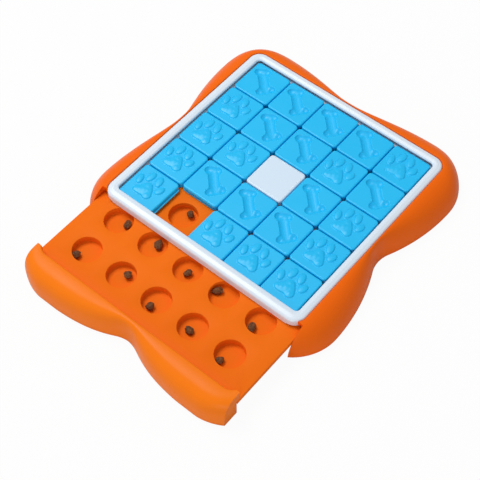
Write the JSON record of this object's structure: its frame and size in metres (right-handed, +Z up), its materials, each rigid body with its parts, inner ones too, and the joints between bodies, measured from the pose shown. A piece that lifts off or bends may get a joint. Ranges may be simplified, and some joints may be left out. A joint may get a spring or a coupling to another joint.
{
  "type": "dog puzzle feeder toy",
  "caption": "Wave-edged board with sliding tiles in a raised frame, over a pull-out drawer with a round treat cup under each place.",
  "frame": {"origin": "middle of the base plate's underside, under the centre of the tile board; the rubber feet reach 1 mm below it", "axes": "+X along the front edge to the right, +Y from the drawer's handle to the back, +Z up"},
  "size_m": [0.3, 0.39, 0.0342],
  "materials": {
    "orange_shell": "smooth moulded, soft shine",
    "orange_tray": "smooth moulded, soft shine",
    "orange_base": "fine matt",
    "white_frame": "smooth moulded, soft shine",
    "white_tile": "smooth moulded, soft shine",
    "blue_tile": "smooth moulded, soft shine",
    "black_rubber": "matt",
    "steel_screw": "plain"
  },
  "bodies": {
    "base": {"housing": "orange_shell", "base_plate": "orange_base", "top_frame": "white_frame", "track_ring": "white_frame", "feet": "black_rubber", "base_screws": "steel_screw", "track_screws": "steel_screw", "paw_tile_r1c1": "blue_tile", "paw_tile_r1c3": "blue_tile", "paw_tile_r1c4": "blue_tile", "paw_tile_r1c5": "blue_tile", "paw_tile_r2c1": "blue_tile", "bone_tile_r2c3": "blue_tile", "bone_tile_r2c4": "blue_tile", "paw_tile_r2c5": "blue_tile", "paw_tile_r3c1": "blue_tile", "plain_tile_r3c3": "white_tile", "bone_tile_r3c4": "blue_tile", "paw_tile_r3c5": "blue_tile", "paw_tile_r4c1": "blue_tile", "bone_tile_r4c3": "blue_tile", "paw_tile_r4c4": "blue_tile", "bone_tile_r4c5": "blue_tile", "bone_tile_r5c1": "blue_tile", "bone_tile_r5c3": "blue_tile", "bone_tile_r5c4": "blue_tile", "paw_tile_r5c5": "blue_tile"},
    "drawer": {"drawer_tray": "orange_tray", "drawer_front": "orange_shell", "front_screws": "steel_screw"},
    "sliding_tile_r5c2": {"bone_tile_r5c2": "blue_tile"},
    "sliding_tile_r4c2": {"bone_tile_r4c2": "blue_tile"},
    "sliding_tile_r3c2": {"paw_tile_r3c2": "blue_tile"},
    "sliding_tile_r2c2": {"bone_tile_r2c2": "blue_tile"}
  },
  "joints": [
    {"name": "drawer_slide", "type": "slide", "parent": "base", "child": "drawer", "axis": [0, -1, 0], "range_m": [-0.09, 0.09]},
    {"name": "tile_slide_r5c2", "type": "slide", "parent": "base", "child": "sliding_tile_r5c2", "axis": [0, -1, 0], "range_m": [0, 0.045]},
    {"name": "tile_slide_r4c2", "type": "slide", "parent": "base", "child": "sliding_tile_r4c2", "axis": [0, -1, 0], "range_m": [0, 0.045]},
    {"name": "tile_slide_r3c2", "type": "slide", "parent": "base", "child": "sliding_tile_r3c2", "axis": [0, -1, 0], "range_m": [0, 0.045]},
    {"name": "tile_slide_r2c2", "type": "slide", "parent": "base", "child": "sliding_tile_r2c2", "axis": [0, -1, 0], "range_m": [0, 0.045]}
  ],
  "couplings": [
    {"joint": "tile_slide_r4c2", "follows": "tile_slide_r5c2", "ratio": 1},
    {"joint": "tile_slide_r3c2", "follows": "tile_slide_r5c2", "ratio": 1},
    {"joint": "tile_slide_r2c2", "follows": "tile_slide_r5c2", "ratio": 1}
  ]
}
